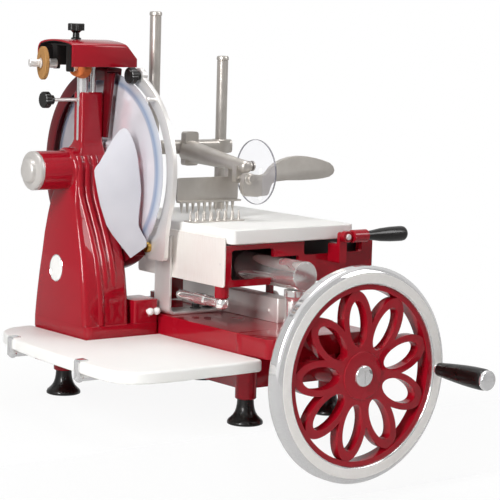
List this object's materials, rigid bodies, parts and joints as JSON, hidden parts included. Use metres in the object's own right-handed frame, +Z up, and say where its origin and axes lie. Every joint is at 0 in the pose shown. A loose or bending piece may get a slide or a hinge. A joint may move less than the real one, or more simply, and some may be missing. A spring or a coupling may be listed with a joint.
{
  "type": "hand crank meat slicer",
  "caption": "Flywheel hand crank meat slicer with a round blade, sliding carriage, toothed clamp, sharpener and receiving tray.",
  "frame": {"origin": "centre of the front left foot's rest face", "axes": "+X to the operator's right along the blade axis, +Y away from the operator along the flywheel axis, +Z up"},
  "size_m": [0.6513, 0.7628, 0.757],
  "materials": {
    "red_enamel": "gloss enamel over smoothed castings",
    "chrome_plate": "polished chrome plate",
    "polished_steel": "fine polished stainless steel",
    "white_board": "smooth white coating",
    "black_plastic": "moulded, turned and polished",
    "brass": "machined",
    "amber_abrasive": "bonded grit",
    "orange_abrasive": "bonded grit",
    "dark_steel": "oiled machined steel",
    "clear_acrylic": "clear moulded sheet",
    "badge_enamel": "blank enamelled plate"
  },
  "bodies": {
    "machine": {"base_casting": "red_enamel", "tower_casting": "red_enamel", "foot_front_left": "black_plastic", "foot_front_right": "black_plastic", "foot_tower": "black_plastic", "foot_rear_right": "black_plastic", "hub_end_cap": "chrome_plate", "badge_plate": "badge_enamel", "rear_guard": "red_enamel", "front_guard": "polished_steel", "slice_deflector": "chrome_plate", "guard_bracket": "polished_steel", "guard_bolt": "brass", "slide_bar": "chrome_plate", "bar_front_post": "chrome_plate", "bar_rear_pedestal": "red_enamel", "bar_cover": "polished_steel", "roller_rail": "polished_steel", "drive_chain": "dark_steel", "tray_board": "white_board", "tray_rod_front": "chrome_plate", "tray_rod_rear": "chrome_plate", "ball_knobs": "chrome_plate"},
    "flywheel": {"flywheel_rim": "chrome_plate", "flywheel_spider": "red_enamel", "flywheel_hub_cap": "chrome_plate", "flywheel_axle": "polished_steel", "crank_stud": "chrome_plate"},
    "crank_grip": {"crank_grip": "black_plastic", "crank_grip_cap": "chrome_plate"},
    "cross_shaft": {"cross_shaft": "polished_steel"},
    "blade": {"blade": "chrome_plate", "blade_shaft": "polished_steel"},
    "carriage": {"carriage_frame": "red_enamel", "carriage_panel": "polished_steel", "connecting_rod": "chrome_plate", "lever_bracket": "red_enamel"},
    "roller": {"carriage_roller": "polished_steel"},
    "table": {"food_table": "white_board", "table_spikes": "chrome_plate", "feed_nut": "brass", "clamp_rod_tall": "polished_steel", "clamp_rod_short": "polished_steel"},
    "feed_screw": {"feed_screw": "dark_steel"},
    "table_lever": {"table_lever": "red_enamel", "lever_grip": "black_plastic"},
    "clamp": {"clamp_arm": "polished_steel", "clamp_jaw": "polished_steel", "clear_disc_guard": "clear_acrylic"},
    "clamp_handle": {"clamp_handle": "polished_steel"},
    "sharpener": {"sharpener_hood": "red_enamel", "sharpener_post": "chrome_plate", "sharpener_guide_pin": "chrome_plate", "stone_carrier": "dark_steel"},
    "flat_stone": {"flat_stone": "amber_abrasive"},
    "cup_stone": {"cup_stone": "orange_abrasive"},
    "sharpener_knob": {"sharpener_top_knob": "black_plastic"},
    "column_clamp": {"column_clamp_screw": "black_plastic"},
    "guard_knob": {"guard_knob": "black_plastic"}
  },
  "joints": [
    {"name": "flywheel_spin", "type": "hinge", "parent": "machine", "child": "flywheel", "pos_m": [0.148, 0, 0.085], "axis": [0, 1, 0], "continuous": true},
    {"name": "grip_spin", "type": "hinge", "parent": "flywheel", "child": "crank_grip", "pos_m": [0.308, -0.128, 0.083], "axis": [0, 1, 0], "continuous": true},
    {"name": "cross_shaft_spin", "type": "hinge", "parent": "machine", "child": "cross_shaft", "pos_m": [0, 0.343, 0.085], "axis": [1, 0, 0], "continuous": true},
    {"name": "blade_spin", "type": "hinge", "parent": "machine", "child": "blade", "pos_m": [0, 0.343, 0.391], "axis": [1, 0, 0], "continuous": true},
    {"name": "carriage_slide", "type": "slide", "parent": "machine", "child": "carriage", "axis": [0, 1, 0], "range_m": [-0.115, 0.09]},
    {"name": "roller_spin", "type": "hinge", "parent": "carriage", "child": "roller", "pos_m": [0.195, 0.182, 0.168], "axis": [1, 0, 0], "range_deg": [-360, 460]},
    {"name": "table_feed", "type": "slide", "parent": "carriage", "child": "table", "axis": [1, 0, 0], "range_m": [0, 0.055]},
    {"name": "feed_screw_turn", "type": "hinge", "parent": "carriage", "child": "feed_screw", "pos_m": [0.3, 0.182, 0.273], "axis": [1, 0, 0], "range_deg": [-10, 2000]},
    {"name": "table_lever_lift", "type": "hinge", "parent": "carriage", "child": "table_lever", "pos_m": [0.221, 0.0213, 0.294], "axis": [0, -1, 0], "range_deg": [0, 60]},
    {"name": "clamp_height", "type": "slide", "parent": "table", "child": "clamp", "axis": [0, 0, 1], "range_m": [-0.01, 0.14]},
    {"name": "clamp_handle_press", "type": "hinge", "parent": "clamp", "child": "clamp_handle", "pos_m": [0.112, 0.1565, 0.384], "axis": [0, -1, 0], "range_deg": [-8, 8]},
    {"name": "sharpener_lift", "type": "slide", "parent": "machine", "child": "sharpener", "axis": [0, 0, 1], "range_m": [0, 0.06]},
    {"name": "flat_stone_spin", "type": "hinge", "parent": "sharpener", "child": "flat_stone", "pos_m": [-0.164, 0.362, 0.571], "axis": [-0.9654, 0.2607, 0], "continuous": true},
    {"name": "cup_stone_spin", "type": "hinge", "parent": "sharpener", "child": "cup_stone", "pos_m": [-0.124, 0.328, 0.566], "axis": [0.8729, 0.4364, 0.2182], "continuous": true},
    {"name": "sharpener_knob_turn", "type": "hinge", "parent": "sharpener", "child": "sharpener_knob", "pos_m": [-0.12, 0.343, 0.62], "axis": [0, 0, 1], "continuous": true},
    {"name": "column_clamp_turn", "type": "hinge", "parent": "machine", "child": "column_clamp", "pos_m": [-0.15, 0.343, 0.51], "axis": [1, 0, 0], "continuous": true},
    {"name": "guard_knob_turn", "type": "hinge", "parent": "machine", "child": "guard_knob", "pos_m": [-0.05, 0.27306, 0.55577], "axis": [1, 0, 0], "continuous": true}
  ],
  "couplings": [
    {"joint": "cross_shaft_spin", "follows": "flywheel_spin", "ratio": -1.5},
    {"joint": "blade_spin", "follows": "flywheel_spin", "ratio": -2.25},
    {"joint": "roller_spin", "follows": "carriage_slide", "rad_per_m": -66.667},
    {"joint": "feed_screw_turn", "follows": "table_feed", "rad_per_m": 628.32}
  ]
}
